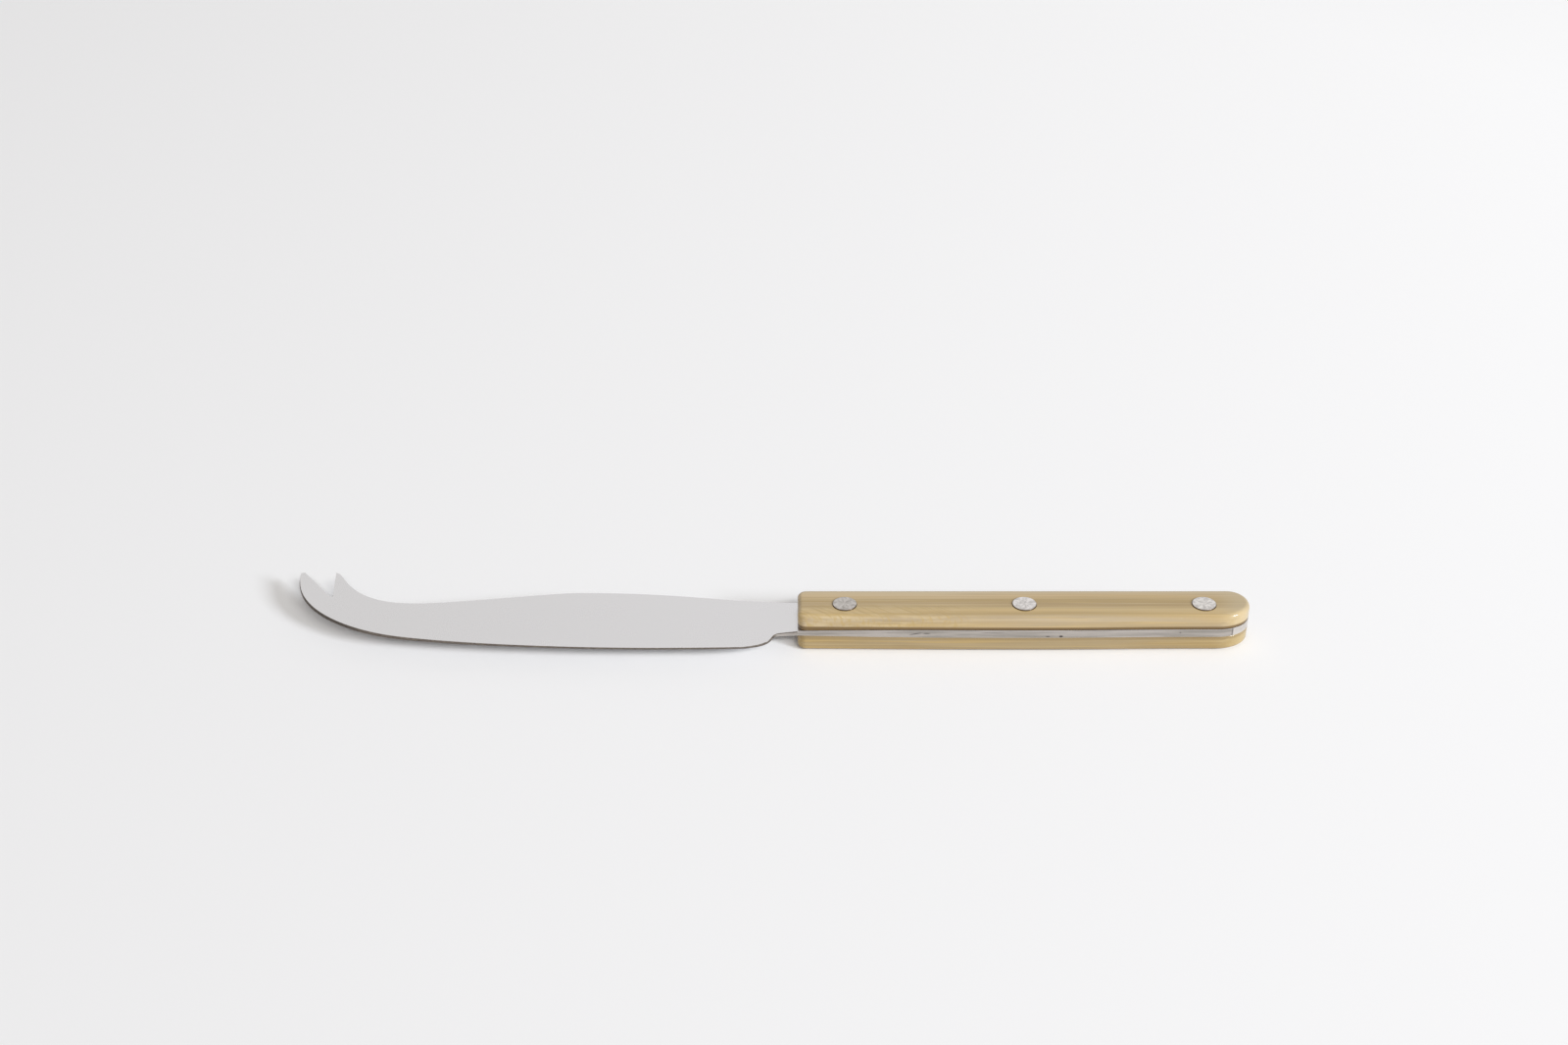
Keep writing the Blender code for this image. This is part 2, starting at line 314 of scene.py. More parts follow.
def add_piece(name, form, materials, node):
    """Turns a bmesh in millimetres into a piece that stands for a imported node."""
    bmesh.ops.scale(form, verts=form.verts, vec=(MM, MM, MM))
    mesh = bpy.data.meshes.new(name)
    form.to_mesh(mesh)
    form.free()
    mesh.shade_smooth()
    mesh.set_sharp_from_angle(angle=SHARP_ANGLE)
    for material in materials:
        mesh.materials.append(material)
    piece = bpy.data.objects.new(name, mesh)
    bpy.context.scene.collection.objects.link(piece)
    shading = piece.modifiers.new("even_shading", "WEIGHTED_NORMAL")
    shading.keep_sharp = True
    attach(piece, "root")
    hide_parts(node)
    print(name, "has", len(mesh.polygons), "faces")
    return piece


# %% [markdown]
# ## Building materials in code
#
# A shader is a small network, and writing one in code repeats three steps: make a node, set
# its sockets, link it. These helpers do that. A group is a network with named inputs and
# outputs, built once and used by several materials with their own values.

# %% Node helpers
def add_node(tree, kind, settings=None, **sockets):
    """A node with its properties set, and its sockets set or linked by name."""
    node = tree.nodes.new(kind)
    for key, value in (settings or {}).items():
        setattr(node, key, value)
    for key, value in sockets.items():
        feed(tree, node.inputs[key.replace("_", " ")], value)
    return node


def feed(tree, socket, value):
    """Links a socket to another, or sets its value."""
    if isinstance(value, bpy.types.NodeSocket):
        tree.links.new(value, socket)
    else:
        socket.default_value = value


def calculate(tree, operation, *values):
    """The result of a Math node."""
    node = tree.nodes.new("ShaderNodeMath")
    node.operation = operation
    for socket, value in zip(node.inputs, values):
        feed(tree, socket, value)
    return node.outputs[0]


def blend_colour(tree, share, first, second, kind="MIX"):
    """The mix of two colours, or another blend of them."""
    node = tree.nodes.new("ShaderNodeMix")
    node.data_type = "RGBA"
    node.blend_type = kind
    for index, value in ((0, share), (6, first), (7, second)):
        feed(tree, node.inputs[index], value)
    return node.outputs[2]


def remap(tree, value, low, high, to_low=0.0, to_high=1.0, smooth=True):
    """A value moved from one range to another and kept inside it."""
    node = add_node(
        tree, "ShaderNodeMapRange",
        {"interpolation_type": "SMOOTHSTEP" if smooth else "LINEAR"},
        Value=value, From_Min=low, From_Max=high, To_Min=to_low, To_Max=to_high,
    )
    return node.outputs[0]


def noise(tree, vector, size, detail=2.0, roughness=0.5, shift=(0.0, 0.0, 0.0)):
    """Noise whose features have a given length along each axis, in the vector's unit."""
    frequency = tuple(1 / length for length in size)
    place = add_node(tree, "ShaderNodeMapping", Vector=vector, Scale=frequency, Location=shift)
    texture = add_node(
        tree, "ShaderNodeTexNoise", Vector=place.outputs[0], Scale=1.0, Detail=detail,
        Roughness=roughness,
    )
    return texture.outputs[0]


def in_millimetres(tree, centre=(0.0, 0.0, 0.0)):
    """Object coordinates in millimetres, measured from a centre."""
    place = tree.nodes.new("ShaderNodeTexCoord")
    mapping = add_node(
        tree, "ShaderNodeMapping", Vector=place.outputs["Object"], Scale=(1 / MM,) * 3,
        Location=tuple(-length for length in centre),
    )
    return mapping.outputs[0]


def new_group(name, inputs, outputs):
    """A shader group with its sockets, and the nodes that stand for them inside."""
    tree = bpy.data.node_groups.new(name, "ShaderNodeTree")
    for key, kind in inputs:
        tree.interface.new_socket(key, in_out="INPUT", socket_type=kind)
    for key, kind in outputs:
        tree.interface.new_socket(key, in_out="OUTPUT", socket_type=kind)
    return tree, tree.nodes.new("NodeGroupInput").outputs, tree.nodes.new("NodeGroupOutput").inputs


def use_group(tree, group, **sockets):
    return add_node(tree, "ShaderNodeGroup", {"node_tree": group}, **sockets).outputs


def new_material(name, **sockets):
    """A material, its Principled shader with constant sockets set, and its tree."""
    material = bpy.data.materials.new(name)
    material.use_nodes = True
    tree = material.node_tree
    shader = tree.nodes["Principled BSDF"]
    for key, value in sockets.items():
        shader.inputs[key.replace("_", " ")].default_value = value
    return material, tree, shader.inputs


FLOAT = "NodeSocketFloat"
COLOUR = "NodeSocketColor"
VECTOR = "NodeSocketVector"

# %% [markdown]
# ## Shared effect: fine scratches
#
# Polished and brushed steel both carry fine lines left by the wheel or the belt. They differ
# only in the direction and the length of the lines. The group takes a stretched noise of a
# given size in millimetres and gives a mask for the roughness and a height for the bump.

# %% Scratches group
def make_scratches():
    tree, given, result = new_group(
        "fine_scratches",
        [("Vector", VECTOR), ("Size", VECTOR), ("Depth", FLOAT)],
        [("Mask", FLOAT), ("Height", FLOAT)],
    )
    spread = add_node(tree, "ShaderNodeVectorMath", {"operation": "DIVIDE"})
    feed(tree, spread.inputs[0], given["Vector"])
    feed(tree, spread.inputs[1], given["Size"])
    lines = add_node(
        tree, "ShaderNodeTexNoise", Vector=spread.outputs[0], Scale=1.0, Detail=3.0, Roughness=0.6
    )
    mask = remap(tree, lines.outputs[0], 0.3, 0.7)
    feed(tree, result["Mask"], mask)
    feed(tree, result["Height"], calculate(tree, "MULTIPLY", mask, given["Depth"]))
    return tree


SCRATCHES = make_scratches()

# %% [markdown]
# ## Shared effect: handling
#
# Fingers leave faint cloudy marks on polished steel and on glossy plastic alike. They show
# only as a little more roughness in soft patches, so the group gives a roughness that
# wanders between two values.

# %% Handling group
def make_handling():
    tree, given, result = new_group(
        "handling_marks",
        [("Vector", VECTOR), ("Clean", FLOAT), ("Touched", FLOAT)],
        [("Roughness", FLOAT)],
    )
    patches = noise(tree, given["Vector"], (14.0, 9.0, 9.0), detail=4.0, roughness=0.6)
    share = remap(tree, patches, 0.42, 0.68)
    rougher = calculate(tree, "SUBTRACT", given["Touched"], given["Clean"])
    added = calculate(tree, "MULTIPLY", share, rougher)
    feed(tree, result["Roughness"], calculate(tree, "ADD", given["Clean"], added))
    return tree


HANDLING = make_handling()
print("groups:", [group.name for group in bpy.data.node_groups])

# %% [markdown]
# ## Polished steel
#
# The faces of the blade are polished almost to a mirror, with faint lines across the blade
# where the wheel passed. Steel has no colour of its own beyond its reflection, so the base
# colour is a grey, painted a little lighter towards the handle as a painted reflection, and the
# other detail goes into the roughness and a very shallow bump.

# %% Polished steel
def make_polished_steel():
    material, tree, shader = new_material("polished_steel", Metallic=1.0)
    place = in_millimetres(tree)
    x = add_node(tree, "ShaderNodeSeparateXYZ", Vector=place).outputs[0]
    # Painted reflection: the base grey gets lighter from the fork towards the handle.
    handle_reflection_share = remap(tree, x, FORK_END, HANDLE_START)
    tone = blend_colour(tree, handle_reflection_share, (0.625, 0.615, 0.615, 1.0), (0.665, 0.655, 0.66, 1.0))
    feed(tree, shader["Base Color"], tone)
    lines = use_group(tree, SCRATCHES, Vector=place, Size=(0.12, 9.0, 9.0), Depth=1.0)
    touched = use_group(tree, HANDLING, Vector=place, Clean=0.2, Touched=0.26)
    lined = calculate(tree, "MULTIPLY", lines["Mask"], 0.04)
    feed(tree, shader["Roughness"], calculate(tree, "ADD", touched["Roughness"], lined))
    bump = add_node(
        tree, "ShaderNodeBump", Strength=0.05, Distance=0.02 * MM, Height=lines["Height"]
    )
    feed(tree, shader["Normal"], bump.outputs["Normal"])
    return material


POLISHED_STEEL = make_polished_steel()

# %% [markdown]
# ## The cut wall and the sanded tang
#
# The narrow wall round the blade is left as it was cut: dark and brownish, with a rough
# grain, and it is made darker still towards the fork. Where the handle was sanded to its
# contour, the belt took the tang and the end of the neck with it, and left them bright and
# satin. One material shows both, with a mask that changes over along X, so that the border
# needs no seam in the mesh. The notch and the tips of the prongs are painted brighter than the
# rest of the wall, a painted reflection, and the round end of the tang at the butt has a painted
# highlight. The tang has a few small dark pits and scratches, which are soft ellipses at their
# own places.

# %% Steel walls
SANDED_FROM = (-62.3, -61.3)
UNSANDED_RIM = 0.15
FORK_WALL = (FORK_END + 14.0, FORK_END + 24.0)
NOTCH_WALL = (FORK_END + 5.0, FORK_END + 8.0)
NOTCH_FOOT = (6.0, 10.0)
PRONG_TIP = (16.0, 18.5)
TANG_MARKS = (
    (-27.2, 0.0, 1.6, 0.14, 0.7, -12.0),
    (-24.4, 0.12, 0.9, 0.16, 0.65, 0.0),
    (-8.0, 0.35, 3.2, 0.14, 0.5, 0.0),
    (5.6, -0.72, 0.55, 0.17, 0.75, 0.0),
    (8.9, -0.68, 0.5, 0.26, 1.0, 0.0),
    (38.4, 0.2, 0.28, 0.2, 0.5, 0.0),
    (51.4, 0.0, 0.16, 1.6, 0.55, 0.0),
)


def tang_mark(tree, place, x, height, half_length, half_height, strength, turn):
    """A soft dark ellipse on the side of the tang."""
    spot = add_node(
        tree, "ShaderNodeMapping", {"vector_type": "TEXTURE"}, Vector=place,
        Location=(x, 0.0, STEEL_MIDDLE + height), Rotation=(0.0, math.radians(turn), 0.0),
        Scale=(half_length, 100.0, half_height),
    )
    distance = add_node(tree, "ShaderNodeVectorMath", {"operation": "LENGTH"})
    feed(tree, distance.inputs[0], spot.outputs[0])
    return remap(tree, distance.outputs["Value"], 1.3, 0.6, 0.0, strength)


def make_steel_wall():
    material, tree, shader = new_material("steel_wall", Metallic=1.0)
    place = in_millimetres(tree)
    x, y, z = add_node(tree, "ShaderNodeSeparateXYZ", Vector=place).outputs
    grain = noise(tree, place, (0.5, 0.5, 0.15), detail=4.0)
    cut_colour = blend_colour(
        tree, remap(tree, grain, 0.3, 0.7), (0.11, 0.092, 0.08, 1.0), (0.27, 0.235, 0.2, 1.0)
    )
    along_fork = remap(tree, x, *FORK_WALL, 0.6, 1.0)
    cut_colour = blend_colour(tree, along_fork, (0.0, 0.0, 0.0, 1.0), cut_colour)
    # Painted reflection: the walls of the notch and the tips of the prongs are painted brighter.
    in_notch = calculate(
        tree, "MULTIPLY", remap(tree, x, *NOTCH_WALL), remap(tree, y, *NOTCH_FOOT, 0.0, 0.5)
    )
    painted_reflection = calculate(tree, "MAXIMUM", in_notch, remap(tree, y, *PRONG_TIP, 0.0, 0.5))
    cut_colour = blend_colour(tree, painted_reflection, cut_colour, (0.6, 0.57, 0.55, 1.0))
    cloud = noise(tree, place, (14.0, 2.0, 0.9), detail=3.0)
    satin_colour = blend_colour(
        tree, remap(tree, cloud, 0.3, 0.7), (0.352, 0.328, 0.299, 1.0), (0.532, 0.494, 0.461, 1.0)
    )
    # Painted highlight: the round end of the tang at the butt is painted almost white.
    butt_painted_light = remap(tree, x, 51.5, 51.8, 0.0, 0.6)
    satin_colour = blend_colour(tree, butt_painted_light, satin_colour, (0.85, 0.81, 0.77, 1.0))
    sanded = remap(tree, x, *SANDED_FROM)
    rim = remap(tree, z, STEEL_MIDDLE + UNSANDED_RIM, STEEL_MIDDLE + UNSANDED_RIM + 0.1)
    rim_end = remap(tree, x, HANDLE_START, HANDLE_START - 0.2)
    bare = calculate(tree, "SUBTRACT", 1.0, calculate(tree, "MULTIPLY", rim, rim_end))
    sanded = calculate(tree, "MULTIPLY", sanded, bare)
    colour = blend_colour(tree, sanded, cut_colour, satin_colour)
    for mark in TANG_MARKS:
        colour = blend_colour(tree, tang_mark(tree, place, *mark), colour, (0.06, 0.05, 0.05, 1.0))
    feed(tree, shader["Base Color"], colour)
    lines = use_group(tree, SCRATCHES, Vector=place, Size=(6.0, 6.0, 0.06), Depth=1.0)
    satin = remap(tree, lines["Mask"], 0.0, 1.0, 0.34, 0.44)
    rough = calculate(tree, "MULTIPLY", calculate(tree, "SUBTRACT", 1.0, sanded), 0.2)
    feed(tree, shader["Roughness"], calculate(tree, "ADD", satin, rough))
    bump = add_node(
        tree, "ShaderNodeBump", Strength=0.25, Distance=0.03 * MM, Height=lines["Height"]
    )
    feed(tree, shader["Normal"], bump.outputs["Normal"])
    return material


STEEL_WALL = make_steel_wall()
print("steel wall has", len(STEEL_WALL.node_tree.nodes), "nodes")

# %% [markdown]
# ## The grind
#
# The blade and the tang are one slab of steel. A flat grind makes it thinner towards the edge
# and the fork, and runs out under the front of the scales. The function gives the thickness that
# is left at any place, so that the blade and the scales bedded on it use the same figures.

# %% Grind
BACK_THICKNESS_AT_FORK = 1.0
EDGE_THICKNESS = 0.45
EDGE_THICKNESS_AT_FORK = 0.7
EDGE_TAPER = (25.0, 55.0)
GRIND_RUNOUT = (CHOIL_X, CHOIL_X + 42.0)


def share(value, start, end):
    return min(max((value - start) / (end - start), 0.0), 1.0)


def mix(first, second, part):
    return first + (second - first) * part


def steel_thickness(x, y):
    back = mix(BACK_THICKNESS_AT_FORK, TANG_THICKNESS, share(x, FORK_END, HANDLE_START))
    taper = share(x - FORK_END, *EDGE_TAPER)
    edge = mix(EDGE_THICKNESS_AT_FORK, EDGE_THICKNESS, taper)
    ground = mix(edge, back, share(y, EDGE_LOW[1], HANDLE_BACK))
    return mix(ground, TANG_THICKNESS, math.sin(share(x, *GRIND_RUNOUT) * math.pi / 2))


print("neck is", round(steel_thickness(HANDLE_START, -HANDLE_FRONT), 2), "thick at the front")

# %% [markdown]
# ## The blade
#
# The rim is bevelled first, while each flat side is still a few clean faces: the
# cutting side gets a narrow dark chamfer, which runs from just under the tip of the outer prong
# to the heel, and the rest only the tiny rounding of a deburring wheel. Then the slab is cut by
# many planes, because only a vertex can move, and each vertex sinks towards the middle plane
# by the depth that the grind takes off. So the chamfer keeps its width.

# %% Blade piece
STATION_STEP = 3.0
HOLE_PLAY = 0.05
EDGE_CHAMFER = 0.18
CHAMFER_TOP = 18.0
CHAMFER_END = CHOIL_X - 2.0
CUTTING_SIDE = -0.35
STEEL_RIM = 0.06


def cut_across(form, point, normal):
    bmesh.ops.bisect_plane(
        form, geom=[*form.verts, *form.edges, *form.faces], plane_co=point, plane_no=normal,
        dist=MERGE,
    )


def stations(start, end):
    count = math.floor((end - start) / STATION_STEP)
    return [start + STATION_STEP * (index + 0.5) for index in range(count)]


def steel_rim(form, on_cutting_side):
    """The edges between a face and a wall of the steel, on the cutting side or elsewhere."""
    rim = []
    for edge in form.edges:
        if edge.calc_face_angle(0.0) < RIM_ANGLE:
            continue
        wall = min(edge.link_faces, key=lambda face: abs(face.normal.z)).normal
        in_reach = all(vert.co.x < CHAMFER_END and vert.co.y < CHAMFER_TOP for vert in edge.verts)
        if on_cutting_side == (in_reach and min(wall.x, wall.y) < CUTTING_SIDE):
            rim.append(edge)
    return rim


def make_blade():
    holes = [circle(x, RIVET_RADIUS + HOLE_PLAY) for x in RIVET_SPOTS]
    form = flat_slab("blade_slab", [blade_outline(), *holes], TANG_THICKNESS)
    for face in form.faces:
        face.material_index = 0 if abs(face.normal.z) > FLAT_NORMAL else 1
    for on_cutting_side, width, look in ((True, EDGE_CHAMFER, 1), (False, STEEL_RIM, 0)):
        bmesh.ops.bevel(
            form, geom=steel_rim(form, on_cutting_side), offset=width, offset_type="OFFSET",
            segments=2, profile=0.5, affect="EDGES", clamp_overlap=False, material=look,
        )
        form.normal_update()
    for x in stations(FORK_END, HANDLE_END):
        cut_across(form, (x, 0, 0), (1, 0, 0))
    for y in stations(blade_low.y, blade_high.y):
        cut_across(form, (0, y, 0), (0, 1, 0))
    bmesh.ops.triangulate(form, faces=form.faces)
    for vert in form.verts:
        ground_off = (TANG_THICKNESS - steel_thickness(vert.co.x, vert.co.y)) / 2
        vert.co.z -= math.copysign(ground_off, vert.co.z)
    bmesh.ops.dissolve_degenerate(form, dist=MERGE, edges=form.edges)
    bmesh.ops.translate(form, verts=form.verts, vec=(0, 0, STEEL_MIDDLE))
    return add_piece("forked_blade", form, [POLISHED_STEEL, STEEL_WALL], "blade")


forked_blade = make_blade()

# %% [markdown]
# ## Streaked acrylic
#
# The scales look like cast acrylic with streaks like bamboo or horn: broad bands from grey tan to
# cream, thin darker lines, and golden wisps. The streaks run through the whole thickness, so
# the pattern is a noise in space, stretched a hundred times along the handle, and the same
# streak shows on the face and on the side. Near the front some wisps run aslant, which is
# a second noise, turned and faded in only there. The butt is painted a paler, plainer tan,
# which is painted light: it stands in for the main box lighting the end of the handle.

# %% Streaks group
CREAM = (0.56, 0.44, 0.275, 1.0)
GOLD = (0.5, 0.355, 0.15, 1.0)
LINE_BROWN = (0.25, 0.185, 0.095, 1.0)
PALE_CLOUD = (0.58, 0.455, 0.265, 1.0)
DARK_WISP = (0.4, 0.28, 0.11, 1.0)
BUTT_LIT_TAN = (0.5, 0.41, 0.265, 1.0)
BUTT_LIT_SPAN = (46.0, 54.0)
# Besides the streaks, the stops carry painted shade: the -5.6 stop colours the front side wall, which is
# painted darker than the face just above it.
ACROSS = (
    (-5.6, (0.406, 0.318, 0.203, 1.0)),
    (-4.4, (0.466, 0.328, 0.138, 1.0)),
    (-3.1, (0.573, 0.414, 0.193, 1.0)),
    (-1.8, (0.525, 0.391, 0.193, 1.0)),
    (-0.4, (0.414, 0.296, 0.142, 1.0)),
    (0.8, (0.404, 0.286, 0.125, 1.0)),
    (2.1, (0.423, 0.303, 0.133, 1.0)),
    (3.4, (0.52, 0.379, 0.199, 1.0)),
    (6.8, (0.558, 0.474, 0.331, 1.0)),
)


def across_ramp(tree, across):
    """The broad bands of colour from the front side of a scale to its back, with painted shade on the
    front side wall.
    """
    first, last = ACROSS[0][0], ACROSS[-1][0]
    ramp = add_node(
        tree, "ShaderNodeValToRGB", Fac=remap(tree, across, first, last, smooth=False)
    )
    elements = ramp.color_ramp.elements
    while len(elements) < len(ACROSS):
        elements.new(0.5)
    for element, (place, colour) in zip(elements, ACROSS):
        element.position = (place - first) / (last - first)
        element.color = colour
    return ramp.outputs[0]


def make_streaks():
    tree, given, result = new_group(
        "acrylic_streaks",
        [("Vector", VECTOR), ("Seed", VECTOR), ("Front", FLOAT), ("Tone", COLOUR)],
        [("Color", COLOUR), ("Height", FLOAT)],
    )
    moved = add_node(tree, "ShaderNodeVectorMath", {"operation": "ADD"})
    feed(tree, moved.inputs[0], given["Vector"])
    feed(tree, moved.inputs[1], given["Seed"])
    grain = moved.outputs[0]
    x, y, _ = add_node(tree, "ShaderNodeSeparateXYZ", Vector=given["Vector"]).outputs
    sway = noise(tree, grain, (60.0, 4.0, 4.0), detail=2.0)
    across = calculate(tree, "ADD", y, remap(tree, sway, 0.25, 0.75, -0.9, 0.9, smooth=False))
    colour = across_ramp(tree, across)

    shade = noise(tree, grain, (110.0, 0.9, 0.9), detail=3.0, shift=(3.0, 7.0, 2.0))
    shaded = remap(tree, shade, 0.3, 0.7, 0.0, 0.5)
    colour = blend_colour(tree, shaded, colour, (0.8, 0.78, 0.74, 1.0), "MULTIPLY")
    gold = noise(tree, grain, (34.0, 0.8, 0.8), shift=(11.0, 1.0, 5.0))
    colour = blend_colour(tree, remap(tree, gold, 0.54, 0.72, 0.0, 0.55), colour, GOLD)
    pale = noise(tree, grain, (60.0, 0.45, 0.45), shift=(5.0, 9.0, 1.0))
    colour = blend_colour(tree, remap(tree, pale, 0.52, 0.74, 0.0, 0.5), colour, CREAM)
    lines = noise(tree, grain, (40.0, 0.25, 0.25), shift=(1.0, 4.0, 8.0))
    colour = blend_colour(tree, remap(tree, lines, 0.55, 0.74, 0.0, 0.5), colour, LINE_BROWN)

    near = remap(tree, y, 0.5, -1.5)
    front = calculate(tree, "MULTIPLY", given["Front"], near)
    patches = noise(tree, grain, (7.0, 0.9, 0.9), detail=3.0, shift=(7.0, 2.0, 3.0))
    patch = calculate(tree, "MULTIPLY", remap(tree, patches, 0.47, 0.62, 0.0, 0.33), front)
    colour = blend_colour(tree, patch, colour, PALE_CLOUD)
    turned = add_node(
        tree, "ShaderNodeMapping", Vector=grain, Rotation=(0.0, 0.0, math.radians(35))
    ).outputs[0]
    wisps = noise(tree, turned, (9.0, 0.45, 1.5), detail=3.0, shift=(2.0, 3.0, 6.0))
    wisp = calculate(tree, "MULTIPLY", remap(tree, wisps, 0.5, 0.64, 0.0, 0.6), front)
    colour = blend_colour(tree, wisp, colour, DARK_WISP)
    # Painted light: towards the butt the streaks are mixed into a paler, plainer tan.
    butt_painted_light = remap(tree, x, *BUTT_LIT_SPAN, 0.0, 0.6)
    colour = blend_colour(tree, butt_painted_light, colour, BUTT_LIT_TAN)
    colour = blend_colour(tree, 1.0, colour, given["Tone"], "MULTIPLY")
    feed(tree, result["Color"], colour)
    feed(tree, result["Height"], lines)
    return tree


STREAKS = make_streaks()

# %% [markdown]
# ## The two scale materials
#
# Both scales use the streaks with a different seed, since they are cut from different places
# of the sheet. Next to the tang each scale gets a dark brown band of painted shade for the
# crease where it meets the steel: strong on the upper scale, whose inner edge faces down,
# and weak on the lower one, whose inner edge faces up. The plastic is glossy: a low roughness
# that wanders a little where it was handled, and a bump from the streaks so shallow that it
# only disturbs a reflection.

# %% Scale materials
FRONT_PATTERN = (-6.0, -22.0)
SEAM_SHADE_BAND = (0.6, 1.1)
SEAM_SHADE_BROWN = (0.13, 0.075, 0.022, 1.0)


def make_acrylic(name, seed, tone, seam_shade_strength, front_strength):
    material, tree, shader = new_material(name, IOR=1.49)
    place = in_millimetres(tree)
    x, _, z = add_node(tree, "ShaderNodeSeparateXYZ", Vector=place).outputs
    front = remap(tree, x, *FRONT_PATTERN, 0.0, front_strength)
    streaks = use_group(tree, STREAKS, Vector=place, Seed=seed, Front=front, Tone=tone)
    # Painted shade: a dark brown band on the scale just above the tang, in the crease between them.
    off_middle = calculate(tree, "ABSOLUTE", calculate(tree, "SUBTRACT", z, STEEL_MIDDLE))
    above_tang = calculate(tree, "SUBTRACT", off_middle, TANG_THICKNESS / 2)
    seam = remap(tree, above_tang, SEAM_SHADE_BAND[1], SEAM_SHADE_BAND[0], 0.0, seam_shade_strength)
    feed(tree, shader["Base Color"], blend_colour(tree, seam, streaks["Color"], SEAM_SHADE_BROWN))
    touched = use_group(tree, HANDLING, Vector=place, Clean=0.13, Touched=0.2)
    feed(tree, shader["Roughness"], touched["Roughness"])
    bump = add_node(
        tree, "ShaderNodeBump", Strength=0.1, Distance=0.01 * MM, Height=streaks["Height"]
    )
    feed(tree, shader["Normal"], bump.outputs["Normal"])
    return material


UPPER_ACRYLIC = make_acrylic("upper_acrylic", (0.0, 0.0, 0.0), (1.0, 1.0, 1.0, 1.0), 0.95, 1.0)
LOWER_ACRYLIC = make_acrylic("lower_acrylic", (340.0, 21.0, 13.0), (0.812, 0.779, 0.657, 1.0), 0.3, 0.0)

# %% [markdown]
# ## The handle scales
#
# A scale is a slab with three holes, laid against the tang. Its outer rim is rounded generously
# and its inner rim only just, and the bevel operator does both: it takes the edges of one
# side, found by their height and the angle between their faces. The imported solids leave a
# small gap above the steel, but the real scales touch it, so these are thicker by that gap.

# %% Scale pieces
OUTER_ROUNDING = 1.2
INNER_ROUNDING = 0.3
BEDDING_DEPTH = 1.5
HOLE_MARGIN = 1.0


def round_rim(form, side, rounding, steps):
    rim = [
        edge
        for edge in form.edges
        if all(vert.co.z * side > 0 for vert in edge.verts)
        and edge.calc_face_angle(0.0) > RIM_ANGLE
        and min((Vector((x, 0)) - vert.co.xy).length for x in RIVET_SPOTS for vert in edge.verts)
        > RIVET_RADIUS + HOLE_MARGIN
    ]
    bmesh.ops.bevel(
        form, geom=rim, offset=rounding, offset_type="OFFSET", segments=steps, profile=0.5,
        affect="EDGES", clamp_overlap=False, material=-1,
    )


def bed_on_tang(form, side):
    """Lets the inner face of a scale follow the steel, which is ground thinner at the front."""
    for vert in form.verts:
        height = side * (vert.co.z - STEEL_MIDDLE) - TANG_THICKNESS / 2
        hollow = (TANG_THICKNESS - steel_thickness(vert.co.x, vert.co.y)) / 2
        vert.co.z -= side * hollow * (1 - share(height, INNER_ROUNDING, BEDDING_DEPTH))


def make_scale(name, side, material, node):
    thickness = SCALE_TOP - STEEL_MIDDLE - TANG_THICKNESS / 2
    holes = [circle(x, RIVET_RADIUS + HOLE_PLAY) for x in RIVET_SPOTS]
    form = flat_slab(name + "_slab", [scale_outline(), *holes], thickness)
    round_rim(form, side, OUTER_ROUNDING, 10)
    round_rim(form, -side, INNER_ROUNDING, 4)
    height = STEEL_MIDDLE + side * (TANG_THICKNESS + thickness) / 2
    bmesh.ops.translate(form, verts=form.verts, vec=(0, 0, height))
    for x in stations(HANDLE_START, HANDLE_END):
        cut_across(form, (x, 0, 0), (1, 0, 0))
    for y in stations(scale_low.y, scale_high.y):
        cut_across(form, (0, y, 0), (0, 1, 0))
    bmesh.ops.triangulate(form, faces=[face for face in form.faces if len(face.verts) > 4])
    bed_on_tang(form, side)
    return add_piece(name, form, [material], node)


scale_above = make_scale("scale_above", 1, UPPER_ACRYLIC, "upper_scale")
scale_below = make_scale("scale_below", -1, LOWER_ACRYLIC, "lower_scale")

# %% [markdown]
# ## Rivet steel
#
# The heads look hand-ground, with short bright facets that run out from the middle.
# A noise in polar coordinates gives them: the angle round the rivet is one axis and the
# distance from its centre the other, so the patches stretch outwards like petals.

# %% Rivet materials
HEAD_EDGE = (2.86, 2.94)
HEAD_SIDE_SHADE = (0.15, 0.115, 0.09, 1.0)
RIVET_TONES = (
    ((0.36, 0.335, 0.31, 1.0), (0.56, 0.53, 0.5, 1.0)),
    ((0.5, 0.475, 0.455, 1.0), (0.74, 0.71, 0.69, 1.0)),
    ((0.5, 0.475, 0.455, 1.0), (0.76, 0.73, 0.7, 1.0)),
)


